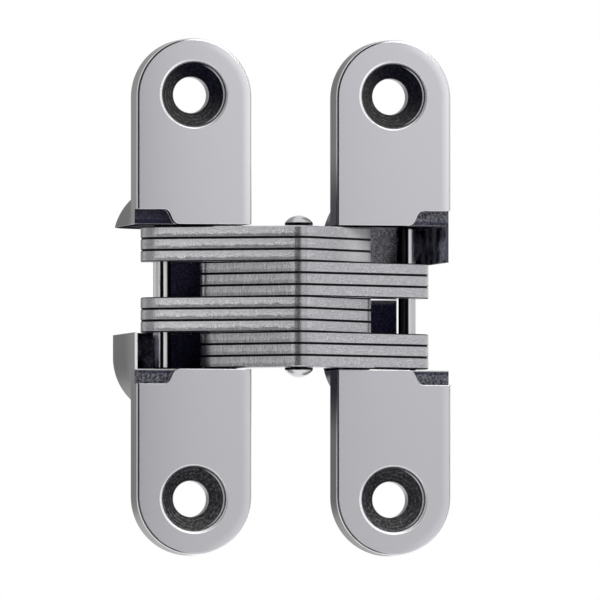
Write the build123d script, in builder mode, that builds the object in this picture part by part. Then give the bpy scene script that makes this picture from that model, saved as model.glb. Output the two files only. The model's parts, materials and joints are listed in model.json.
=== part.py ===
"""Concealed door hinge: two recessed leaves joined by crossed packs of links on one centre pin.

Frame, in millimetres: the origin is the centre of the left leaf's screw holes on the back of its flange,
which seats in the door frame. +X runs across to the right leaf, +Y into the leaves and +Z up along the
hinge. The hinge lies open flat.

Inside one leaf, u runs across from the leaf's centre towards the other leaf, and depth runs from the
leaf's face into it.
"""
import os
from math import acos, atan2, cos, hypot, pi, sin

from build123d import *

# Leaf castings
LEAF_LENGTH = 69.85
LEAF_WIDTH = 15.875
LEAF_PITCH = 27.6
FLANGE_THICK = 4.0
FACE_EDGE_R = 0.35
BACK_LAND = 0.875  # flat strip between the two roundings of the back
WALL = 0.9
FAR_WALL = 0.4  # beside the pocket, on the side away from the other leaf
END_WALL = 6.02
STEP_EDGE_R = 0.8  # under the shallow near side of the body
FAR_OPENING_U = -2.8
BACK_OPENING_U = -0.5
SILL_U = -4.5  # edge of the sill in the back opening
BACK_SILL = 0.5

# Countersunk screw holes
SCREW_INSET = 7.625  # from the leaf's end to the screw's centre
SCREW_HOLE_R = 2.44
SCREW_HEAD_R = 4.6
SCREW_CONE_R = 4.37
SCREW_RIM_STEP = 0.2
SCREW_CONE_ANGLE = 82

# Pins
PIN_R = 1.19
PIN_CHAMFER = 0.2
PIVOT_PIN_HOLD = 2.95  # length in each end wall
SLIDE_PIN_HOLD = 1.7
HEAD_R = 1.9
HEAD_HEIGHT = 1.35
HEAD_RIM = 0.35

# Linkage, with the hinge open flat
PIVOT_INSET = 3.0375  # from the leaf's near edge to the pivot pin's centre
PIVOT_COVER = 0.21  # from the flange's back to the pivot pin
SLIDE_U = -3.2
SLIDE_DROP = 0.6  # slide pin deeper than the pivot pin
KNEE_STANDOFF = 2.8  # centre pin in front of the faces
CLOSED_GAP = 1.6  # between the faces when the hinge is shut

# Stamped links, in packs that pivot in the right and the left leaf by turns
PACK_PAIRS = 2
LINKS_PER_PACK = 3
LINK_PITCH = 1.59
LINK_THICK = 1.55
LINK_EDGE = 0.14
SLIDE_END_R = 2.9
KNEE_R = 2.45
PIVOT_END_R = 2.9
CROTCH_R = 2.0
RELIEF_LIP_R = 0.4

# Clearances
TIGHT_CLEAR = 0.03
RUN_CLEAR = 0.06
HEAD_CLEAR = 0.06
SLOT_CLEAR = 0.22  # slide pin in its groove
GROOVE_END_CLEAR = 0.3
RELIEF_CLEAR = 0.3
CHANNEL_CLEAR = 0.8  # slide pin past the inner edge of its channel
SIDE_CLEAR = 0.08  # beside a pack in its slot
STACK_END_CLEAR = 0.25  # beyond the stack of links in the pocket
RECESS_FLOOR_CLEAR = 0.3
SLOT_FLOOR_CLEAR = 0.63
NEAR_WALL_CLEAR = 0.4
NOTCH_END_CLEAR = 0.85
NOTCH_FLOOR_CLEAR = 0.4
NOTCH_SIDE_CLEAR = 0.47  # head to the middle of the notch's S-curve
NOTCH_CURVE_RUN = 2.3

CUT_PAST = 1.0  # how far a cut runs out into the open

# Stack of links
packs = 2 * PACK_PAIRS
pack_height = LINKS_PER_PACK * LINK_PITCH
stack_half = packs * pack_height / 2

# Linkage places, with the hinge open flat, and its two swings
half_width = LEAF_WIDTH / 2
pivot_u = half_width - PIVOT_INSET
pivot_depth = FLANGE_THICK + PIVOT_COVER + PIN_R
slide_depth = pivot_depth + SLIDE_DROP
knee = (LEAF_PITCH / 2, -KNEE_STANDOFF)
left_pivot = (pivot_u, pivot_depth)
right_pivot = (LEAF_PITCH - pivot_u, pivot_depth)
left_slide = (SLIDE_U, slide_depth)
right_slide = (LEAF_PITCH - SLIDE_U, slide_depth)

short_arm = hypot(knee[0] - pivot_u, KNEE_STANDOFF + pivot_depth)
long_arm = hypot(knee[0] - SLIDE_U, KNEE_STANDOFF + slide_depth)
short_lean = atan2(knee[0] - pivot_u, KNEE_STANDOFF + pivot_depth)
long_lean = atan2(knee[0] - SLIDE_U, KNEE_STANDOFF + slide_depth)
pivot_swing = short_lean + acos((pivot_depth + CLOSED_GAP / 2) / short_arm)
slide_swing = pi - pivot_swing


def knee_place(share):
    """Where the centre pin stands in a leaf when this share of the closing swing is done."""
    angle = short_lean - share * pivot_swing
    return (pivot_u + short_arm * sin(angle), pivot_depth - short_arm * cos(angle))


def slide_pin_place(share):
    """Where the slide pin stands in its own leaf when this share of the closing swing is done."""
    knee_u, knee_depth = knee_place(share)
    angle = long_lean - share * slide_swing
    return (knee_u - long_arm * sin(angle), knee_depth + long_arm * cos(angle))


slide_path = ThreePointArc(slide_pin_place(0), slide_pin_place(0.5), slide_pin_place(1))
shut_slide_u, shut_slide_depth = slide_pin_place(1)
shut_knee_u, shut_knee_depth = knee_place(1)

# Pocket in each leaf, sized for the links that move in it
inner_half = half_width - FAR_WALL
back_r = half_width - BACK_LAND / 2
pocket_length = 2 * (stack_half + STACK_END_CLEAR)
recess_depth = pivot_depth + PIVOT_END_R + RECESS_FLOOR_CLEAR
pocket_depth = shut_slide_depth + SLIDE_END_R + SLOT_FLOOR_CLEAR
near_wall_u = shut_slide_u + SLIDE_END_R + NEAR_WALL_CLEAR
body_length = pocket_length + 2 * END_WALL
body_depth = pocket_depth + WALL
step_depth = recess_depth + WALL
step_u = near_wall_u + WALL
face_y = -FLANGE_THICK
screw_spacing = LEAF_LENGTH - 2 * SCREW_INSET

# Notch in the face for the centre pin's heads when the hinge is shut
notch_half = stack_half + HEAD_CLEAR + HEAD_HEIGHT + NOTCH_END_CLEAR
notch_depth = shut_knee_depth + HEAD_R + NOTCH_FLOOR_CLEAR
notch_curve_start = shut_knee_u + HEAD_R + NOTCH_SIDE_CLEAR - NOTCH_CURVE_RUN / 2
notch_curve_end = notch_curve_start + NOTCH_CURVE_RUN

pivot_pin_length = pocket_length + 2 * PIVOT_PIN_HOLD
slide_pin_length = pocket_length + 2 * SLIDE_PIN_HOLD


def deep_profile():
    """Section of the pocket's deep part, from its near wall round the leaf's rounded back."""
    with BuildSketch() as profile:
        with Locations((0, pocket_depth / 2)):
            Rectangle(2 * inner_half, pocket_depth)
        fillet(profile.vertices().group_by(Axis.Y)[-1], back_r - WALL)
        with Locations((near_wall_u, 0)):
            Rectangle(LEAF_WIDTH, pocket_depth, align=(Align.MIN, Align.MIN), mode=Mode.SUBTRACT)
    return profile.sketch


def build_housing(label, origin_x, across):
    """One leaf casting. across is +1 or -1, the way from the leaf's centre to the other leaf along X.

    Both leaves are one casting: on the second, the face plane is turned half round about its normal.
    """
    face = Plane(origin=(origin_x, face_y, 0), x_dir=(across, 0, 0), z_dir=(0, -1, 0))
    section = Plane(origin=(origin_x, face_y, 0), x_dir=(across, 0, 0), z_dir=(0, 0, across))
    deep = deep_profile()

    # Deep half of the body, the back rounded over and the near side cut away
    with BuildPart() as deep_body:
        with BuildSketch(face):
            SlotOverall(body_length, LEAF_WIDTH, rotation=90)
        extrude(amount=-body_depth)
        fillet(deep_body.faces().sort_by(Axis.Y)[-1].edges(), back_r)
        with BuildSketch(section.offset(-body_length / 2)):
            with Locations((step_u, 0)):
                Rectangle(LEAF_WIDTH, body_depth, align=(Align.MIN, Align.MIN))
        extrude(amount=body_length, mode=Mode.SUBTRACT)

    with BuildPart() as housing:
        # Shallow half of the body, the deep half and the flange, all with full-round ends
        with BuildSketch(face):
            SlotOverall(body_length, LEAF_WIDTH, rotation=90)
        extrude(amount=-step_depth)
        fillet(housing.faces().sort_by(Axis.Y)[-1].edges(), STEP_EDGE_R)
        add(deep_body.part)
        with BuildSketch(face):
            SlotOverall(LEAF_LENGTH, LEAF_WIDTH, rotation=90)
        extrude(amount=-FLANGE_THICK)
        fillet(housing.faces().sort_by(Axis.Y)[0].edges(), FACE_EDGE_R)

        # Recess under the face, open towards the other leaf
        with BuildSketch(section.offset(-pocket_length / 2)):
            with Locations((-inner_half, 0)):
                Rectangle(inner_half + half_width + CUT_PAST, recess_depth, align=(Align.MIN, Align.MIN))
        extrude(amount=pocket_length, mode=Mode.SUBTRACT)

        # Deep slots for the packs that slide in this leaf, the first one out to the pocket's end
        for pack in range(0, packs, 2):
            pack_top = stack_half - pack * pack_height
            slot_top = pack_top + (STACK_END_CLEAR if pack == 0 else SIDE_CLEAR)
            slot_bottom = pack_top - pack_height - SIDE_CLEAR
            with BuildSketch(section.offset(slot_bottom)):
                add(deep)
            extrude(amount=slot_top - slot_bottom, mode=Mode.SUBTRACT)

        # Channel that lets the slide pin pass the packs pivoted in this leaf
        with BuildSketch(section.offset(-pocket_length / 2)):
            add(deep)
            with Locations(slide_path.arc_center):
                Circle(slide_path.radius - PIN_R - CHANNEL_CLEAR, mode=Mode.SUBTRACT)
        extrude(amount=pocket_length, mode=Mode.SUBTRACT)

        # Far side open beside all packs but the last, so that the long arms can swing past
        opening_bottom = pack_height - stack_half - SIDE_CLEAR
        opening_back = body_depth + CUT_PAST
        with BuildSketch(section.offset(opening_bottom)):
            with Locations((SILL_U, -CUT_PAST)):
                Rectangle(LEAF_WIDTH, CUT_PAST + opening_back, align=(Align.MAX, Align.MIN))
        extrude(amount=pocket_length / 2 - opening_bottom, mode=Mode.SUBTRACT)

        # Back open further in, above a sill beside the last pack
        sill_top = opening_bottom + BACK_SILL
        with BuildSketch(section.offset(sill_top)):
            with BuildLine():
                Polyline(
                    (SILL_U, -CUT_PAST),
                    (FAR_OPENING_U, -CUT_PAST),
                    (FAR_OPENING_U, recess_depth),
                    (BACK_OPENING_U, opening_back),
                    (SILL_U, opening_back),
                    close=True,
                )
            make_face()
        extrude(amount=pocket_length / 2 - sill_top, mode=Mode.SUBTRACT)

        # Notch for the centre pin's heads, with an S-curve at each end of its inner edge
        with BuildSketch(face):
            with BuildLine():
                Polyline((-LEAF_WIDTH, 0), (-LEAF_WIDTH, notch_half), (notch_curve_start, notch_half))
                Spline(
                    (notch_curve_start, notch_half),
                    (notch_curve_end, pocket_length / 2),
                    tangents=((1, 0), (1, 0)),
                )
                Line((notch_curve_end, pocket_length / 2), (notch_curve_end, 0))
                mirror(about=Plane.XZ)
            make_face()
        extrude(amount=-notch_depth, mode=Mode.SUBTRACT)

        # Curved grooves in both end walls that guide the slide pin
        with BuildSketch(section.offset(-slide_pin_length / 2 - GROOVE_END_CLEAR)):
            SlotArc(slide_path, 2 * (PIN_R + SLOT_CLEAR))
        extrude(amount=slide_pin_length + 2 * GROOVE_END_CLEAR, mode=Mode.SUBTRACT)

        # Bores through the end walls: one holds the pivot pin, the slide pin goes in through the other
        with BuildSketch(section.offset(-body_length / 2 - CUT_PAST)):
            with Locations(left_pivot):
                Circle(PIN_R + TIGHT_CLEAR)
            with Locations(left_slide):
                Circle(PIN_R + SLOT_CLEAR)
        extrude(amount=body_length + 2 * CUT_PAST, mode=Mode.SUBTRACT)

        # Countersunk screw holes with a small step at the rim
        with Locations(face):
            with GridLocations(0, screw_spacing, 1, 2):
                Hole(SCREW_HEAD_R, depth=SCREW_RIM_STEP)
        with Locations(face.offset(-SCREW_RIM_STEP)):
            with GridLocations(0, screw_spacing, 1, 2):
                CounterSinkHole(
                    SCREW_HOLE_R,
                    SCREW_CONE_R,
                    depth=FLANGE_THICK + CUT_PAST,
                    counter_sink_angle=SCREW_CONE_ANGLE,
                )
    housing.part.label = label
    return housing.part


def build_link(label, level, slide, pivot, passing_pin, knee_clear):
    """One stamped link: long arm from the knee to its slide pin, short arm to its pivot pin.

    The long arm's back edge is relieved where it comes to rest over the other leaf's pivot pin.
    """
    middle = stack_half - (level + 0.5) * LINK_PITCH
    bottom = Plane(origin=(0, face_y, middle - LINK_THICK / 2))
    behind_knee = (knee[0], knee[1] + 2 * KNEE_R)

    with BuildSketch() as long_side:
        with Locations(slide):
            Circle(SLIDE_END_R)
        with Locations(knee):
            Circle(KNEE_R)
        make_hull()
    with BuildSketch() as short_side:
        with Locations(pivot):
            Circle(PIVOT_END_R)
        with Locations(knee):
            Circle(KNEE_R)
        make_hull()

    with BuildPart() as link:
        with BuildSketch(bottom) as outline:
            add(long_side.sketch)
            add(short_side.sketch)
            fillet(outline.vertices().sort_by_distance(behind_knee)[0:1], CROTCH_R)
            with Locations(passing_pin):
                Circle(PIN_R + RELIEF_CLEAR, mode=Mode.SUBTRACT)
            fillet(outline.vertices().sort_by_distance(passing_pin)[0:2], RELIEF_LIP_R)
            with Locations(slide):
                Circle(PIN_R + TIGHT_CLEAR, mode=Mode.SUBTRACT)
            with Locations(pivot):
                Circle(PIN_R + RUN_CLEAR, mode=Mode.SUBTRACT)
            with Locations(knee):
                Circle(PIN_R + knee_clear, mode=Mode.SUBTRACT)
        extrude(amount=LINK_THICK)
        sides = link.faces().filter_by(Axis.Z)
        chamfer([edge for side in sides for edge in side.outer_wire().edges()], LINK_EDGE)
    link.part.label = label
    return link.part


def build_pin(label, place, length):
    """Plain round pin along Z with chamfered ends."""
    with BuildPart() as pin:
        with BuildSketch(Plane(origin=(0, face_y, -length / 2))):
            with Locations(place):
                Circle(PIN_R)
        extrude(amount=length)
        chamfer(pin.edges().filter_by(GeomType.CIRCLE), PIN_CHAMFER)
    pin.part.label = label
    return pin.part


def build_centre_pin(label):
    """Centre pin through all the links, with a domed head at each end."""
    middle = (knee[0], face_y + knee[1], 0)
    axis_plane = Plane(origin=middle, x_dir=(1, 0, 0), z_dir=(0, -1, 0))
    head_seat = stack_half + HEAD_CLEAR
    rim_top = head_seat + HEAD_RIM
    head_top = head_seat + HEAD_HEIGHT
    dome_rise = HEAD_HEIGHT - HEAD_RIM
    dome_r = (HEAD_R**2 + dome_rise**2) / (2 * dome_rise)

    with BuildPart() as pin:
        with BuildSketch(axis_plane):
            with BuildLine():
                Polyline((0, 0), (PIN_R, 0), (PIN_R, head_seat), (HEAD_R, head_seat), (HEAD_R, rim_top))
                RadiusArc((HEAD_R, rim_top), (0, head_top), -dome_r)
                Line((0, head_top), (0, 0))
            make_face()
        revolve(axis=Axis(middle, (0, 0, 1)))
        mirror(about=Plane.XY)
    pin.part.label = label
    return pin.part


pieces = [
    build_housing("left_housing", 0, 1),
    build_housing("right_housing", LEAF_PITCH, -1),
    build_pin("left_pivot_pin", left_pivot, pivot_pin_length),
    build_pin("right_pivot_pin", right_pivot, pivot_pin_length),
    build_pin("left_slide_pin", left_slide, slide_pin_length),
    build_pin("right_slide_pin", right_slide, slide_pin_length),
    build_centre_pin("centre_pin"),
]
for level in range(packs * LINKS_PER_PACK):
    pack = level // LINKS_PER_PACK
    number = level + 1
    if pack % 2 == 0:
        link = build_link(f"right_link_{number}", level, left_slide, right_pivot, left_pivot, RUN_CLEAR)
    else:
        link = build_link(f"left_link_{number}", level, right_slide, left_pivot, right_pivot, TIGHT_CLEAR)
    pieces.append(link)

os.makedirs("parts", exist_ok=True)
for piece in pieces:
    export_step(piece, f"parts/{piece.label}.step")
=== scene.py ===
"""Looks of the concealed door hinge: satin chrome leaves, stamped steel links and drawn steel pins.

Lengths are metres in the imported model's frame: the origin is the middle of the left leaf's screw holes
on its flange's back, +X runs to the right leaf, +Y into the leaves and +Z up along the hinge. Lengths
whose names end in MM are millimetres, and so are those in a casting's finish. Colours are linear.
"""
import json
import math

import bpy
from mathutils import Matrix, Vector


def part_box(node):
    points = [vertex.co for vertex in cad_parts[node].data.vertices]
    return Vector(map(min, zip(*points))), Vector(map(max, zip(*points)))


MM = 0.001
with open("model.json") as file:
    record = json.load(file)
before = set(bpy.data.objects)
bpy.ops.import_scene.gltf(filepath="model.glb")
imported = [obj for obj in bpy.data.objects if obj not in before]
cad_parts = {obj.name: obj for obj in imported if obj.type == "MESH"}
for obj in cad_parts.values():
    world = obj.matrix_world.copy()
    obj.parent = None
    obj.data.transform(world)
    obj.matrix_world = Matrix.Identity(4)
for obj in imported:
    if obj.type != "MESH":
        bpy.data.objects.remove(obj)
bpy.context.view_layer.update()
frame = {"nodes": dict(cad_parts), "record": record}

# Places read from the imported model
mounts = {mount["name"]: mount for mount in frame["record"]["mounts"]}
LEFT_X = mounts["left_screws"]["pos_m"][0]
RIGHT_X = mounts["right_screws"]["pos_m"][0]
HINGE_X = (LEFT_X + RIGHT_X) / 2
SCREW_Z_MM = mounts["left_screws"]["dims"]["spacing_y_mm"] / 2
SCREW_HOLE_MM = mounts["left_screws"]["dims"]["hole_r_mm"]
leaf_low, leaf_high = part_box("left_housing")
FACE_Y = leaf_low.y
HALF_WIDTH_MM = (leaf_high.x - leaf_low.x) / 2 / MM
BODY_DEPTH_MM = (leaf_high.y - leaf_low.y) / MM
END_CENTRE_MM = leaf_high.z / MM - HALF_WIDTH_MM
STACK_HALF_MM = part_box("right_link_1")[1].z / MM
HEAD_TOP_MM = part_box("centre_pin")[1].z / MM
LINK_END_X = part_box("right_link_1")[0].x
pivot_low, pivot_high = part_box("left_pivot_pin")
PIVOT_DEPTH_MM = ((pivot_low.y + pivot_high.y) / 2 - FACE_Y) / MM

# Limits of the surfaces
POCKET_HALF_MM = STACK_HALF_MM + 0.27
NOTCH_HALF_MM = HEAD_TOP_MM + 0.85
NOTCH_DEPTH_MM = 1.5
NOTCH_INNER_U_MM = -1.9
RECESS_DEPTH_MM = PIVOT_DEPTH_MM + 3.2
NEAR_WALL_U_MM = 1.41
BACK_LAND_HALF_MM = 0.4375
FAR_WALL_MM = 0.4
BACK_WALL_MM = 0.9
LINK_PITCH_MM = 1.59
LINKS_IN_PACK = 3
TOP_PACK_MM = LINKS_IN_PACK * LINK_PITCH_MM  # height of the top pack's underside
CONE_R_MM = 4.37
RIM_R_MM = 4.6

# Relief and rounded edges
EDGE_R = 0.12 * MM
SAND_RELIEF = 0.12 * MM
LINK_RELIEF = 0.006 * MM
PIN_RELIEF = 0.01 * MM
FACE_CROWN = 0.006  # slope of the face gained per millimetre from the leaf's centre

# Plating outside the castings
# Painted highlight along the face's right rim, stronger towards the top
FACE_RIM_HIGHLIGHT = (0.77, 0.765, 0.79)
# Painted highlight round the left of the countersinks' rims
SCREW_RIM_HIGHLIGHT = (0.97, 0.97, 0.98)
# Painted dark reflection along the rounded left edge of the face
EDGE_REFLECTION = (0.08, 0.08, 0.085)
# Painted highlight along the edges round the pocket, notches and countersinks
EDGE_HIGHLIGHT = (0.9, 0.9, 0.92)
DEEP_SIDE = (0.18, 0.18, 0.185)
# Painted shade: the deep side is darker downwards
LOW_DEEP_SIDE = (0.115, 0.115, 0.12)
# Painted shade on the near side, where the pocket's dark inside reflects in it
SHADED_SIDE = (0.035, 0.035, 0.043)
BACK = (0.42, 0.418, 0.435)
# Painted light on the fillet between face and side: a highlight, brighter on the right edge and dark by
# the pocket
LEFT_FILLET = (0.7, 0.69, 0.71)
SHADED_FILLET = (0.1, 0.1, 0.11)
RIGHT_FILLET = (0.88, 0.87, 0.89)
# Painted shade: the face and the side are darker downwards by these shares, as if lit from above
LOW_FACE_SHARE = 0.8
LOW_SIDE_SHARE = 0.55

# Raw metal inside the castings; light and dark are the ends of its grain. The pocket's near-black is
# partly the raw metal's own tone and partly painted shade of the recess.
POCKET_LIGHT = (0.031, 0.029, 0.072)
POCKET_DARK = (0.006, 0.006, 0.017)
BARE_LIGHT = (0.8, 0.81, 1.0)
BARE_DARK = (0.13, 0.13, 0.19)
# Painted light: the recess floor's lower half is darker than its upper half, whose tone each leaf gives
LOW_FLOOR_LIGHT = (0.045, 0.043, 0.09)
LOW_FLOOR_DARK = (0.009, 0.009, 0.022)
FLOOR_DARK_SHARE = 0.22
# Painted light: the lower ledge, facing up, is lighter than the upper one
LOW_LEDGE_LIGHT = (0.345, 0.353, 0.378)
LEDGE_DARK = (0.025, 0.024, 0.045)
LEDGE_SHADE = (0.01, 0.009, 0.03)
# Painted highlight on the lower ledge's edge by the pocket
LIP_HIGHLIGHT = (0.6, 0.6, 0.62)

# Countersinks
# Painted shade: the upper cones' turned rings are darker than the lower ones'
LOW_RING_LIGHT = (0.455, 0.448, 0.455)
LOW_RING_DARK = (0.224, 0.218, 0.224)
HIGH_RING_LIGHT = (0.26, 0.256, 0.26)
HIGH_RING_DARK = (0.128, 0.125, 0.128)
CONE_DARK = (0.06, 0.058, 0.06)
# Painted shade in the cones: upper right of the upper ones, top of the lower ones
CONE_SHADE_LIGHT = (0.035, 0.034, 0.05)
CONE_SHADE_DARK = (0.005, 0.005, 0.011)
HOLE_WALL = (0.34, 0.34, 0.36)
RIM_STEP = (0.05, 0.05, 0.06)
# Painted highlight on the rims and on the right inside of the cones
RIM_HIGHLIGHT = (0.75, 0.74, 0.76)

# Links and pins
# Painted shade: the arms left of the hinge take the darker steel
LEFT_ARM_DARK = (0.205, 0.201, 0.22)
LEFT_ARM_LIGHT = (0.48, 0.471, 0.49)
RIGHT_ARM_DARK = (0.33, 0.325, 0.35)
RIGHT_ARM_LIGHT = (0.66, 0.65, 0.675)
# Sheared strip and burr of the stamping, brightened as painted highlight
SHEARED_DARK = (0.59, 0.58, 0.61)
SHEARED_LIGHT = (0.86, 0.85, 0.87)
BURR = (0.95, 0.94, 0.95)
# Painted dark reflection on the front of the knee
KNEE_REFLECTION = (0.24, 0.235, 0.25)
# Right ends of the top pack: less metallic, lightened as painted highlight
MATT_HIGHLIGHT_DARK = (0.6, 0.59, 0.61)
MATT_HIGHLIGHT_LIGHT = (0.85, 0.84, 0.86)
# Painted shade in the seams between the links
SEAM_SHADE = (0.006, 0.006, 0.008)
PIN_DARK = (0.5, 0.5, 0.51)
PIN_LIGHT = (0.64, 0.64, 0.65)
# Painted shade on the slide pins' sides
PIN_SHADE = (0.015, 0.015, 0.02)
# Painted shade under the pin heads
HEAD_SHADE = (0.01, 0.009, 0.012)

# Shine of the metals at a grazing look
FULL_SHINE = (1, 1, 1)
# Grazing shine of the dull plating that is painted in shade by the pocket
SHADED_DULL_SHINE = (0.45, 0.45, 0.5)
RAW_SHINE = (0.15, 0.15, 0.17)
# Grazing shine of the slide pins' painted shade
PIN_SHADE_SHINE = (0.1, 0.1, 0.12)

# View, from the photograph's frame of 600 pixels
FRAME_PX = 600
PX_PER_MM = 7.4
YAW_DEG = -12.5
ELEVATION_DEG = -1.8
CAMERA_DISTANCE = 2.5
CLIP_NEAR = 0.01
CLIP_FAR = 10.0
SENSOR_MM = 36.0
AIM_RIGHT = 0.77 * MM
AIM_UP = -0.4 * MM

# Studio: bearings in degrees round the hinge, 0 in front of it and positive to the right
FLOOR_Z = -0.075
FLOOR_SIZE = 3.0
FLOOR_GREY = 0.86
FLOOR_LIFT = 0.6
WORLD_FILL = 0.55
STAGE_ROUGHNESS = 0.9
CARD_HEIGHT = 1.2
CARD_STEPS = 12


class Field:
    """A number in a node tree; arithmetic on it adds Math nodes."""

    def __init__(self, tree, socket):
        self.tree = tree
        self.socket = socket

    def math(self, operation, *others):
        node = self.tree.nodes.new("ShaderNodeMath")
        node.operation = operation
        self.tree.links.new(self.socket, node.inputs[0])
        for place, other in enumerate(others, start=1):
            if isinstance(other, Field):
                self.tree.links.new(other.socket, node.inputs[place])
            else:
                node.inputs[place].default_value = other
        return Field(self.tree, node.outputs[0])

    def __add__(self, other):
        return self.math("ADD", other)

    def __sub__(self, other):
        return self.math("SUBTRACT", other)

    def __mul__(self, other):
        return self.math("MULTIPLY", other)

    def size(self):
        return self.math("ABSOLUTE")

    def at_least(self, other):
        return self.math("MAXIMUM", other)

    def diagonal(self, other):
        """Length of the diagonal of this number and another one."""
        return (self * self + other * other).math("SQRT")

    def inverse(self):
        return (self * -1.0) + 1.0

    def step(self, low, high):
        """0 at low and 1 at high, with a smooth change between; low may be the larger."""
        node = self.tree.nodes.new("ShaderNodeMapRange")
        node.interpolation_type = "SMOOTHSTEP"
        if low > high:
            low, high = high, low
            node.inputs["To Min"].default_value = 1.0
            node.inputs["To Max"].default_value = 0.0
        node.inputs["From Min"].default_value = low
        node.inputs["From Max"].default_value = high
        self.tree.links.new(self.socket, node.inputs["Value"])
        return Field(self.tree, node.outputs["Result"])

    def above(self, limit, fade):
        """1 from the limit up, and 0 from this far under it."""
        return self.step(limit - fade, limit)

    def below(self, limit, fade):
        """1 up to the limit, and 0 from this far over it."""
        return self.step(limit + fade, limit)

    def near(self, middle, reach):
        """1 within half the reach of the middle, and 0 from the whole reach off it."""
        return (self - middle).size().step(reach, reach / 2)


def overlap(first, *others):
    """1 where all these masks are 1."""
    for other in others:
        first = first * other
    return first


def scaled(colour, share):
    return [share * channel for channel in colour]


class Finish:
    """One metal finish: a node tree with a Principled shader and short ways to feed it."""

    def __init__(self, name):
        self.material = bpy.data.materials.new(name)
        self.material.use_nodes = True
        self.tree = self.material.node_tree
        self.shader = self.tree.nodes["Principled BSDF"]
        self.shader.inputs["Metallic"].default_value = 1.0
        self.texture = self.tree.nodes.new("ShaderNodeTexCoord")

    def parts(self, output):
        """X, Y and Z of the object coordinates or of the object-space normal."""
        node = self.tree.nodes.new("ShaderNodeSeparateXYZ")
        self.tree.links.new(self.texture.outputs[output], node.inputs[0])
        return [Field(self.tree, node.outputs[axis]) for axis in ("X", "Y", "Z")]

    def noise(self, grain, stretch=(1, 1, 1), detail=3.0, roughness=0.55):
        """Noise from 0 to 1 whose grains are about this long, and longer along a stretched axis."""
        scale = self.tree.nodes.new("ShaderNodeMapping")
        scale.inputs["Scale"].default_value = [1 / (grain * length) for length in stretch]
        self.tree.links.new(self.texture.outputs["Object"], scale.inputs["Vector"])
        node = self.tree.nodes.new("ShaderNodeTexNoise")
        node.inputs["Scale"].default_value = 1.0
        node.inputs["Detail"].default_value = detail
        node.inputs["Roughness"].default_value = roughness
        self.tree.links.new(scale.outputs["Vector"], node.inputs["Vector"])
        return Field(self.tree, node.outputs["Fac"])

    def edges(self, radius):
        """Normal rounded over edges, and a mask that is 1 along them."""
        bevel = self.tree.nodes.new("ShaderNodeBevel")
        bevel.samples = 8
        bevel.inputs["Radius"].default_value = radius
        flat = self.tree.nodes.new("ShaderNodeNewGeometry")
        dot = self.tree.nodes.new("ShaderNodeVectorMath")
        dot.operation = "DOT_PRODUCT"
        self.tree.links.new(bevel.outputs["Normal"], dot.inputs[0])
        self.tree.links.new(flat.outputs["Normal"], dot.inputs[1])
        return bevel.outputs["Normal"], Field(self.tree, dot.outputs["Value"]).step(0.985, 0.8)

    def value(self, share, low, high):
        """A number that runs from low to high with share; either end may be a field."""
        node = self.tree.nodes.new("ShaderNodeMix")
        node.data_type = "FLOAT"
        self.tree.links.new(share.socket, node.inputs[0])
        for socket, end in ((node.inputs[2], low), (node.inputs[3], high)):
            if isinstance(end, Field):
                self.tree.links.new(end.socket, socket)
            else:
                socket.default_value = end
        return Field(self.tree, node.outputs[0])

    def colour(self, share, low, high):
        """A colour that runs from low to high with share; either end may be another such colour."""
        node = self.tree.nodes.new("ShaderNodeMix")
        node.data_type = "RGBA"
        self.tree.links.new(share.socket, node.inputs[0])
        for socket, end in ((node.inputs[6], low), (node.inputs[7], high)):
            if isinstance(end, bpy.types.NodeSocket):
                self.tree.links.new(end, socket)
            else:
                socket.default_value = (*end, 1.0)
        return node.outputs[2]

    def set_colour(self, socket):
        self.tree.links.new(socket, self.shader.inputs["Base Color"])

    def set_metallic(self, field):
        self.tree.links.new(field.socket, self.shader.inputs["Metallic"])

    def set_edge_shine(self, socket):
        self.tree.links.new(socket, self.shader.inputs["Specular Tint"])

    def set_roughness(self, field):
        self.tree.links.new(field.socket, self.shader.inputs["Roughness"])

    def set_relief(self, height, depth, normal=None):
        """Bump of this depth over the surface, or over a normal that is already rounded."""
        bump = self.tree.nodes.new("ShaderNodeBump")
        bump.inputs["Distance"].default_value = depth
        self.tree.links.new(height.socket, bump.inputs["Height"])
        if normal is not None:
            self.tree.links.new(normal, bump.inputs["Normal"])
        self.tree.links.new(bump.outputs["Normal"], self.shader.inputs["Normal"])


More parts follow.
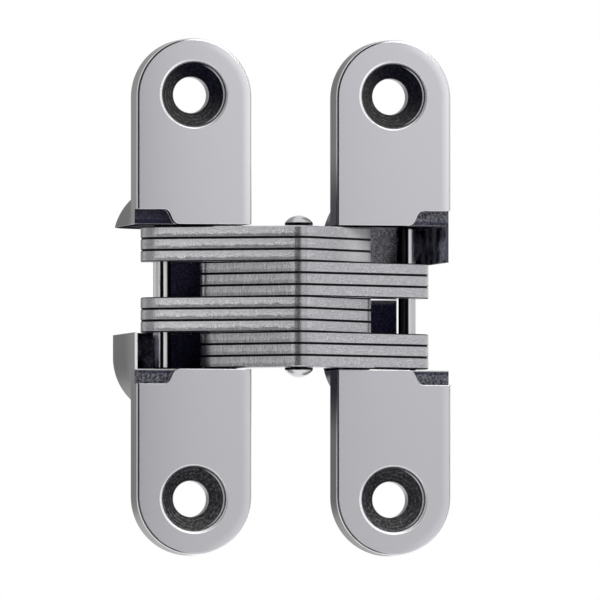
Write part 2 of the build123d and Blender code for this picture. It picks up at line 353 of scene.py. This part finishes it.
class Casting(Finish):
    """A leaf's finish, with its places as masks from 0 to 1 and the colours that go there.

    u runs from the leaf's centre towards the other leaf, so across is 1 for the left leaf and -1 for the
    right one. aside runs to the right on both, depth from the face inwards, and up along the leaf.
    """

    def __init__(self, name, origin_x, across):
        super().__init__(name)
        x, y, z = self.parts("Object")
        _, self.turn, self.lean = self.parts("Normal")
        self.aside = (x - origin_x) * (1 / MM)
        self.u = self.aside * across
        self.depth = (y - FACE_Y) * (1 / MM)
        self.up = z * (1 / MM)
        self.height = self.up.size()
        self.screw_rise = self.up - self.up.math("SIGN") * SCREW_Z_MM
        self.screw_r = self.aside.diagonal(self.screw_rise)
        self.reach = self.aside.diagonal((self.height - END_CENTRE_MM).at_least(0.0))
        self.inset = self.find_inset()
        self.sand = self.noise(0.35 * MM, detail=6.0, roughness=0.75)
        self.grain = self.sand.step(0.35, 0.75)
        self.upper = self.up.step(-1.0, 1.0)
        self.below_face = self.depth.above(0.1, fade=0.06)
        self.find_plated_places()
        self.find_raw_places()
        self.find_countersinks()

    def find_inset(self):
        """How far a point lies inside the leaf's outer side and rounded back."""
        back_r = HALF_WIDTH_MM - BACK_LAND_HALF_MM
        side_reach = (self.u.size() - BACK_LAND_HALF_MM).at_least(0.0)
        back_reach = (self.depth - (BODY_DEPTH_MM - back_r)).at_least(0.0)
        return (side_reach.diagonal(back_reach) * -1.0) + back_r

    def find_plated_places(self):
        """Masks of the near side where it comes to the pocket, for painted shade, and of the rounded left
        edge of the face, for a painted dark reflection.
        """
        # Painted shade on the near side by the pocket
        self.shaded_dull = self.height.step(20.0, 12.0) * self.u.above(HALF_WIDTH_MM - 0.3, fade=0.3)
        # Painted dark reflection along the face's rounded left edge
        self.outline = overlap(
            self.turn.step(-0.66, -0.76),
            self.turn.step(-0.996, -0.985),
            self.aside.step(0.0, -3.0),
            self.reach.above(HALF_WIDTH_MM - 0.5, fade=0.1),
        )

    def find_raw_places(self):
        """The pocket with its floor and bare patches, the ledges by it and the far wall's front."""
        forward = self.turn.step(-0.8, -0.95)
        inside = self.inset.above(FAR_WALL_MM - 0.02, fade=0.13)
        near_outside = overlap(
            self.u.above(NEAR_WALL_U_MM + 0.5, fade=0.1),
            self.depth.above(RECESS_DEPTH_MM + 0.5, fade=0.1),
        )
        self.pocket = overlap(
            self.below_face,
            inside,
            near_outside.inverse(),
            self.height.below(POCKET_HALF_MM, fade=0.06),
        )
        self.floor = self.depth.near(RECESS_DEPTH_MM, 0.2)
        self.bare = overlap(
            self.pocket,
            self.noise(4.0 * MM, detail=2.0).step(0.38, 0.62),
            self.u.step(0.5, -2.0),
            self.lean.size().step(0.5, 0.3),
            self.inset.below(BACK_WALL_MM + 0.15, fade=0.15),
        )
        self.ledge = overlap(
            self.below_face,
            inside.at_least(forward),
            self.height.below(NOTCH_HALF_MM + 0.03, fade=0.07),
            self.depth.below(NOTCH_DEPTH_MM + 0.05, fade=0.05),
            self.u.below(NOTCH_INNER_U_MM, fade=0.1),
        )
        self.far_rim = overlap(
            self.below_face,
            forward,
            self.inset.below(FAR_WALL_MM, fade=0.08),
            self.height.below(POCKET_HALF_MM - 0.05, fade=0.1),
        )

    def find_countersinks(self):
        """The cones, the stepped rims round them and the holes through them."""
        sunk = self.below_face * self.turn.step(0.4, 0.1)
        self.cone = overlap(
            sunk,
            self.screw_r.below(CONE_R_MM, fade=0.05),
            self.screw_r.above(SCREW_HOLE_MM + 0.08, fade=0.06),
        )
        self.rim = overlap(
            sunk,
            self.screw_r.below(RIM_R_MM + 0.02, fade=0.03),
            self.screw_r.above(CONE_R_MM, fade=0.02),
        )
        self.hole = sunk * self.screw_r.below(SCREW_HOLE_MM + 0.02, fade=0.03)

    def highlit_edges(self):
        """Normal rounded over edges, and a mask of those round the pocket, notches and countersinks,
        where a highlight is painted.
        """
        rounded, edge = self.edges(EDGE_R)
        by_pocket = self.height.below(NOTCH_HALF_MM + 0.1, fade=0.2) * self.inset.above(0.3, fade=0.2)
        by_screw = self.screw_r.below(RIM_R_MM + 0.1, fade=0.2)
        return rounded, edge * by_pocket.at_least(by_screw)

    def face_colour(self, polish):
        """Polish with painted shade downwards, a painted highlight along the right rim, and painted
        highlights left of the countersinks.
        """
        # Painted shade: the face is darker downwards
        colour = self.colour(self.up.step(-45.0, 45.0), scaled(polish, LOW_FACE_SHARE), polish)
        # Painted highlight along the right rim of the face
        face_rim_highlight = overlap(
            self.reach.above(HALF_WIDTH_MM - 0.3, fade=1.3),
            self.aside.step(0.0, 5.0),
            self.value(self.up.step(-10.0, 30.0), 0.25, 0.8),
        )
        colour = self.colour(face_rim_highlight, colour, FACE_RIM_HIGHLIGHT)
        # Painted highlight on the face just left of the countersinks, low left on the lower ones
        low_left = (self.aside * -0.6 - self.screw_rise * 0.8).step(0.0, 3.5)
        high_left = (self.aside * -0.97 + self.screw_rise * 0.25).step(1.0, 4.5)
        screw_rim_highlight = self.screw_r.near(RIM_R_MM + 0.07, 0.16) * self.value(self.upper, low_left, high_left)
        return self.colour(screw_rim_highlight * 0.9, colour, SCREW_RIM_HIGHLIGHT)

    def side_colour(self, side):
        """Plating, darker inwards, with painted shade downwards and by the pocket, its own back, and a
        fillet with painted light.
        """
        # Painted shade: the side, and its deep part, are darker downwards
        colour = self.colour(self.up.step(-25.0, 25.0), scaled(side, LOW_SIDE_SHARE), side)
        deep = self.colour(self.up.step(-4.0, -13.0), DEEP_SIDE, LOW_DEEP_SIDE)
        colour = self.colour(self.depth.step(3.0, 9.0), colour, deep)
        # Painted shade on the near side by the pocket, heavier on the lower half
        colour = self.colour(self.shaded_dull * self.value(self.upper, 1.0, 0.2), colour, SHADED_SIDE)
        colour = self.colour(self.turn.step(0.1, 0.6), colour, BACK)
        # Painted highlight on the fillet, brighter on the right
        left_fillet = self.colour(self.shaded_dull, LEFT_FILLET, SHADED_FILLET)
        fillet = self.colour(self.aside.step(-2.0, 2.0), left_fillet, RIGHT_FILLET)
        return self.colour(self.turn.step(-0.12, -0.4), colour, fillet)

    def pocket_colour(self, upper_floor):
        """Grained dark metal, partly painted shade of the recess, with bare patches on the far walls, and
        the recess floor, lighter in its upper half as painted light.
        """
        # Partly painted shade: the pocket's grain is near-black
        light = self.colour(self.bare, POCKET_LIGHT, BARE_LIGHT)
        dark = self.colour(self.bare, POCKET_DARK, BARE_DARK)
        walls = self.colour(self.grain, dark, light)
        # Painted light: the floor's upper half takes each leaf's own tone, the lower half a dark one
        floor_light = self.colour(self.upper, LOW_FLOOR_LIGHT, upper_floor)
        floor_dark = self.colour(self.upper, LOW_FLOOR_DARK, scaled(upper_floor, FLOOR_DARK_SHARE))
        return self.colour(self.floor, walls, self.colour(self.grain, floor_dark, floor_light))

    def ledge_colour(self, upper_raw):
        """Grained raw metal, lighter on the lower ledge as painted light, with painted shade along the
        pocket and a painted highlight on the lower ledge's lip.
        """
        light = self.colour(self.upper, LOW_LEDGE_LIGHT, upper_raw)
        colour = self.colour(self.grain, LEDGE_DARK, light)
        inner_edge = self.height.below(POCKET_HALF_MM + 0.4, fade=0.35)
        colour = self.colour(inner_edge * 0.6, colour, LEDGE_SHADE)
        # Painted highlight along the lower ledge's edge by the pocket
        lip_highlight = self.height.near(POCKET_HALF_MM, 0.22) * self.upper.inverse()
        return self.colour(lip_highlight * 0.8, colour, LIP_HIGHLIGHT)

    def with_countersinks(self, colour):
        """This colour with the cones' turned rings and painted shade, the holes, and painted highlights
        on the rims.

        The painted shade lies in the upper right of the upper cones, and thinner in the top of the lower
        ones.
        """
        # Painted shade in the cones, on the side away from the light
        low_cone_shade = (self.aside * 0.15 + self.screw_rise).step(-4.0, 1.0) * 0.6
        high_cone_shade = (self.aside * 0.6 + self.screw_rise * 0.8).step(-3.0, 3.0)
        cone_shade = self.value(self.upper, low_cone_shade, high_cone_shade)
        waver = self.noise(9.0 * MM, detail=2.0) * 9.0
        ring = (self.screw_r * 14.0 + waver).math("SINE").step(0.3, 1.0)
        # Painted shade: darker turned rings in the upper cones
        ring_dark = self.colour(self.upper, LOW_RING_DARK, HIGH_RING_DARK)
        ring_light = self.colour(self.upper, LOW_RING_LIGHT, HIGH_RING_LIGHT)
        light = self.colour(cone_shade, self.colour(ring, ring_dark, ring_light), CONE_SHADE_LIGHT)
        dark = self.colour(cone_shade, CONE_DARK, CONE_SHADE_DARK)
        cone = self.colour(self.sand.step(0.4, 0.68), dark, light)
        # Painted highlights on the rims, dimmer in the painted shade, and inside the cones' right
        rim_highlight = self.screw_r.near(RIM_R_MM - 0.06, 0.12) * self.value(cone_shade, 1.0, 0.5)
        cone_highlight = self.screw_r.near(CONE_R_MM - 0.2, 0.1) * self.aside.step(1.0, 3.0) * 0.8
        rim_and_cone_highlight = rim_highlight.at_least(cone_highlight) * self.cone.at_least(self.rim)
        colour = self.colour(self.cone, colour, cone)
        colour = self.colour(self.hole, colour, HOLE_WALL)
        colour = self.colour(self.rim, colour, RIM_STEP)
        return self.colour(rim_and_cone_highlight, colour, RIM_HIGHLIGHT)


def casting_finish(name, origin_x, across, polish, side, upper_raw, upper_floor, far_edge):
    """Satin chrome leaf: polished face, duller sides, raw pocket, ledges and countersinks, painted edge
    highlights.

    polish and side are the tones of the face and of the flange's side. upper_raw and upper_floor are the
    lightest tones of the raw metal on the ledge and on the recess floor in the pocket's upper half, and
    far_edge is the tone of the far wall's front edge. side, upper_raw, upper_floor and far_edge differ
    between the leaves as painted light and shade; far_edge paints a highlight on the left leaf and shade
    on the right.
    """
    finish = Casting(name, origin_x, across)
    rounded, edge = finish.highlit_edges()
    colour = finish.colour(finish.below_face, finish.face_colour(polish), finish.side_colour(side))
    # Painted dark reflection along the face's rounded left edge
    colour = finish.colour(finish.outline, colour, EDGE_REFLECTION)
    colour = finish.colour(finish.pocket, colour, finish.pocket_colour(upper_floor))
    colour = finish.colour(finish.ledge, colour, finish.ledge_colour(upper_raw))
    colour = finish.with_countersinks(colour)
    # Painted highlight along the edges round the pocket, notches and countersinks
    colour = finish.colour(edge * 0.8, colour, EDGE_HIGHLIGHT)
    # Painted light on the far wall's front edge
    finish.set_colour(finish.colour(finish.far_rim, colour, far_edge))
    finish.set_metallic(finish.bare.inverse())

    # Raw metal, and the dull plating painted in shade by the pocket, shine little at a grazing look
    raw = finish.pocket.at_least(finish.ledge).at_least(finish.cone)
    plating_shine = finish.colour(finish.shaded_dull * finish.below_face, FULL_SHINE, SHADED_DULL_SHINE)
    finish.set_edge_shine(finish.colour(raw, plating_shine, RAW_SHINE))
    side_roughness = finish.value(finish.noise(0.12 * MM, detail=4.0), 0.34, 0.4)
    plating_roughness = finish.value(finish.below_face, 0.26, side_roughness)
    raw_roughness = finish.value(finish.sand, 0.5, 0.7)
    finish.set_roughness(finish.value(raw * edge.inverse(), plating_roughness, raw_roughness))

    # The face is crowned a little; the bump's height is in units of the sand's relief
    crown_share = -FACE_CROWN / 2 * MM / SAND_RELIEF
    crown = finish.aside * finish.aside * crown_share * finish.below_face.inverse()
    finish.set_relief(raw * finish.sand + crown, SAND_RELIEF, rounded)
    return finish.material


def link_finish(name, sheared_share, tick_share):
    """Stamped steel: satin grain, a sheared strip over a torn one brightened as painted highlight,
    painted shade in the seams.

    The strip and the upright tick marks show on the left arms; the shares say how strongly. The arms left
    of the hinge are darker as painted shade, the front of the knee gets a painted dark reflection, and
    the right ends of the top pack are less metallic with a painted highlight.
    """
    finish = Finish(name)
    x, _, z = finish.parts("Object")
    _, turn, lean = finish.parts("Normal")
    up = z * (1 / MM)
    left = (x - HINGE_X).step(3.0 * MM, -3.0 * MM)
    seam = overlap(
        lean.size().step(0.35, 0.55),
        lean.size().step(0.93, 0.8),
        up.size().below(STACK_HALF_MM - 0.25, fade=0.1),
    )
    # Painted highlight on the right ends of the top pack, which are less metallic
    matt_highlight = (x - RIGHT_X).step(-9.0 * MM, -4.5 * MM) * up.above(TOP_PACK_MM + 0.03, fade=0.1)

    # Grain: streaks along the link with specks, and upright ticks on the left arms
    streak = finish.noise(0.22 * MM, stretch=(4, 4, 1), detail=5.0, roughness=0.7)
    speck = finish.noise(0.2 * MM, detail=6.0, roughness=0.8)
    tick = finish.noise(0.16 * MM, stretch=(1.3, 1.3, 7), detail=3.0, roughness=0.7)
    grain = finish.value(left * tick_share, streak * 0.35 + speck * 0.65, tick)
    shade = grain.step(0.3, 0.72)

    # Sheared strip in each link's upper part, with a ragged burr where it tears; both are stamping marks
    # brightened as painted highlight, on the left arms only
    in_link = (up * (1 / LINK_PITCH_MM)).math("FRACT")
    tear = in_link + finish.noise(0.5 * MM, stretch=(2.5, 2.5, 1), detail=5.0, roughness=0.7) * 0.6
    worked = left * (x - LINK_END_X).step(1.0 * MM, 2.2 * MM)
    sheared = tear.step(0.58, 0.74) * worked
    burr = overlap(tear.near(0.78, 0.22), speck.step(0.46, 0.62), worked)

    left_steel = finish.colour(shade, LEFT_ARM_DARK, LEFT_ARM_LIGHT)
    right_steel = finish.colour(shade, RIGHT_ARM_DARK, RIGHT_ARM_LIGHT)
    # Painted shade on the arms left of the hinge
    steel = finish.colour(left, right_steel, left_steel)
    bright = finish.colour(shade, SHEARED_DARK, SHEARED_LIGHT)
    steel = finish.colour(sheared * sheared_share, steel, bright)
    steel = finish.colour(burr * sheared_share, steel, BURR)
    # Painted dark reflection on the front of the knee
    steel = finish.colour(turn.step(-0.95, -0.98) * 0.5, steel, KNEE_REFLECTION)
    steel = finish.colour(matt_highlight, steel, finish.colour(shade, MATT_HIGHLIGHT_DARK, MATT_HIGHLIGHT_LIGHT))
    # Painted shade in the seams between the links
    finish.set_colour(finish.colour(seam, steel, SEAM_SHADE))
    finish.set_metallic(finish.value(matt_highlight, 0.85, 0.2))
    finish.set_roughness(finish.value(seam, finish.value(grain, 0.2, 0.32), 0.7))
    finish.set_relief(grain, LINK_RELIEF)
    return finish.material


def pin_finish():
    """Drawn steel with fine lines along it, painted shade under the heads and on the slide pins' sides.
    """
    finish = Finish("drawn_steel")
    x, _, z = finish.parts("Object")
    turn = finish.parts("Normal")[0]
    height = (z * (1 / MM)).size()
    line = finish.noise(0.09 * MM, stretch=(1, 1, 30), detail=3.0)
    # Painted shade under the pin heads
    head_shade = height.above(STACK_HALF_MM, fade=0.1) * height.below(STACK_HALF_MM + 0.38, fade=0.12)

    # The slide pins lie beyond the leaves' centres, and their painted shade is in bands along them
    left_shade_bands = turn.near(-0.22, 0.24).at_least(turn.step(0.36, 0.46))
    left_pin_shade = (x - LEFT_X).step(0.0, -1.0 * MM) * left_shade_bands
    right_pin_shade = (x - RIGHT_X).step(0.0, 1.0 * MM) * turn.step(0.0, -0.12)
    pin_shade = left_pin_shade.at_least(right_pin_shade)

    # Painted shade on the slide pins' sides
    steel = finish.colour(pin_shade, finish.colour(line, PIN_DARK, PIN_LIGHT), PIN_SHADE)
    finish.set_colour(finish.colour(head_shade, steel, HEAD_SHADE))
    finish.set_roughness(finish.value(line, 0.16, 0.26))
    finish.set_edge_shine(finish.colour(pin_shade, FULL_SHINE, PIN_SHADE_SHINE))
    finish.set_relief(line, PIN_RELIEF)
    return finish.material


def assign_finishes():
    """Give each node its casting's finish, its kind of link's, or the pins'."""
    pin = pin_finish()
    links = {
        "right_link": link_finish("stamped_steel_right", sheared_share=0.85, tick_share=0.15),
        "left_link": link_finish("stamped_steel_left", sheared_share=0.25, tick_share=0.6),
    }
    # The leaves are one casting; their side, upper_raw, upper_floor and far_edge tones differ as painted
    # light and shade
    castings = {
        "left_housing": casting_finish(
            "left_casting",
            LEFT_X,
            across=1,
            polish=(0.53, 0.524, 0.556),
            side=(0.42, 0.418, 0.422),
            upper_raw=(0.092, 0.088, 0.115),
            upper_floor=(0.08, 0.076, 0.15),
            far_edge=(0.75, 0.75, 0.77),
        ),
        "right_housing": casting_finish(
            "right_casting",
            RIGHT_X,
            across=-1,
            polish=(0.529, 0.521, 0.554),
            side=(0.24, 0.24, 0.246),
            upper_raw=(0.365, 0.365, 0.39),
            upper_floor=(0.85, 0.85, 0.93),
            far_edge=(0.08, 0.08, 0.1),
        ),
    }
    for name, node in frame["nodes"].items():
        kind = name.rsplit("_", 1)[0]
        node.data.materials.clear()
        node.data.materials.append(castings.get(name, links.get(kind, pin)))


def stage_material(name, grey):
    """Matt grey for the stage, and its shader."""
    material = bpy.data.materials.new(name)
    material.use_nodes = True
    shader = material.node_tree.nodes["Principled BSDF"]
    shader.inputs["Base Color"].default_value = (grey, grey, grey, 1.0)
    shader.inputs["Roughness"].default_value = STAGE_ROUGHNESS
    return material, shader


def add_stage(name, vertices, faces, material):
    """Piece of the stage, which isn't part of the hinge."""
    mesh = bpy.data.meshes.new(name)
    mesh.from_pydata(vertices, [], faces)
    mesh.materials.append(material)
    piece = bpy.data.objects.new(name, mesh)
    bpy.context.scene.collection.objects.link(piece)
    return piece


def seen_rays(tree):
    """1 for the rays of the camera, of reflections and of what shows through; 0 for light on surfaces."""
    path = tree.nodes.new("ShaderNodeLightPath")
    seen = Field(tree, path.outputs["Is Camera Ray"])
    for ray in ("Is Glossy Ray", "Is Transmission Ray"):
        seen = seen.at_least(Field(tree, path.outputs[ray]))
    return seen


def add_card(name, bearing, span, distance, grey):
    """Upright card that only reflections see, curved round the hinge over span degrees."""
    vertices = []
    for step in range(CARD_STEPS + 1):
        angle = math.radians(bearing + span * (step / CARD_STEPS - 0.5))
        across = math.sin(angle) * distance
        out = -math.cos(angle) * distance
        for rise in (-CARD_HEIGHT / 2, CARD_HEIGHT / 2):
            vertices.append((HINGE_X + across, out, rise))
    faces = [(2 * step, 2 * step + 2, 2 * step + 3, 2 * step + 1) for step in range(CARD_STEPS)]
    material, shader = stage_material(name, 0.0)
    shader.inputs["Specular IOR Level"].default_value = 0.0
    shader.inputs["Emission Color"].default_value = (grey, grey, grey, 1.0)
    shader.inputs["Emission Strength"].default_value = 1.0
    card = add_stage(name, vertices, faces, material)
    for ray in ("camera", "diffuse", "transmission", "volume_scatter", "shadow"):
        setattr(card, f"visible_{ray}", False)


def build_floor():
    """Pale floor that keeps the hinge's shadow; what is seen of it is lifted to white."""
    half = FLOOR_SIZE / 2
    corners = [(-half, -half), (half, -half), (half, half), (-half, half)]
    vertices = [(HINGE_X + x, y, FLOOR_Z) for x, y in corners]
    material, shader = stage_material("floor", FLOOR_GREY)
    tree = material.node_tree
    shader.inputs["Emission Color"].default_value = (1, 1, 1, 1)
    tree.links.new((seen_rays(tree) * FLOOR_LIFT).socket, shader.inputs["Emission Strength"])
    add_stage("floor", vertices, [(0, 1, 2, 3)], material)


def add_lamp(name, bearing, height, distance, size, watts):
    """Soft square lamp at a bearing and height, turned to the hinge."""
    data = bpy.data.lights.new(name, "AREA")
    data.size = size
    data.energy = watts
    lamp = bpy.data.objects.new(name, data)
    angle = math.radians(bearing)
    lamp.location = (HINGE_X + math.sin(angle) * distance, -math.cos(angle) * distance, height)
    lamp.rotation_mode = "QUATERNION"
    lamp.rotation_quaternion = (Vector((HINGE_X, 0, 0)) - lamp.location).to_track_quat("-Z", "Y")
    lamp.visible_camera = False
    bpy.context.scene.collection.objects.link(lamp)


def build_world():
    """White where it is seen, with a softer fill on the surfaces."""
    world = bpy.data.worlds.new("studio")
    bpy.context.scene.world = world
    world.use_nodes = True
    tree = world.node_tree
    background = tree.nodes["Background"]
    background.inputs["Color"].default_value = (1, 1, 1, 1)
    strength = seen_rays(tree) * (1 - WORLD_FILL) + WORLD_FILL
    tree.links.new(strength.socket, background.inputs["Strength"])


def build_studio():
    build_world()
    build_floor()
    add_card("front_flag", bearing=-19, span=40, distance=0.45, grey=0.0)
    add_card("left_card", bearing=-82, span=52, distance=0.5, grey=0.64)
    add_card("right_card", bearing=75, span=80, distance=0.5, grey=0.84)
    add_card("back_flag", bearing=-160, span=44, distance=0.4, grey=0.46)
    add_lamp("key", bearing=28, height=0.45, distance=0.6, size=0.35, watts=2.0)


def build_camera():
    """Camera at the photograph's angle, a little left of the front and below the middle."""
    yaw = math.radians(YAW_DEG)
    elevation = math.radians(ELEVATION_DEG)
    level = math.cos(elevation)
    back = Vector((math.sin(yaw) * level, -math.cos(yaw) * level, math.sin(elevation)))
    right = Vector((math.cos(yaw), math.sin(yaw), 0))
    aim = Vector((HINGE_X, FACE_Y, 0)) + right * AIM_RIGHT + Vector((0, 0, AIM_UP))
    data = bpy.data.cameras.new("camera")
    data.sensor_width = SENSOR_MM
    data.lens = SENSOR_MM * CAMERA_DISTANCE / (FRAME_PX / PX_PER_MM * MM)
    data.clip_start = CLIP_NEAR
    data.clip_end = CLIP_FAR
    camera = bpy.data.objects.new("camera", data)
    camera.location = aim + back * CAMERA_DISTANCE
    camera.rotation_mode = "QUATERNION"
    camera.rotation_quaternion = (-back).to_track_quat("-Z", "Y")
    bpy.context.scene.collection.objects.link(camera)
    bpy.context.scene.camera = camera


assign_finishes()
build_studio()
build_camera()
bpy.context.scene.view_settings.view_transform = "Standard"
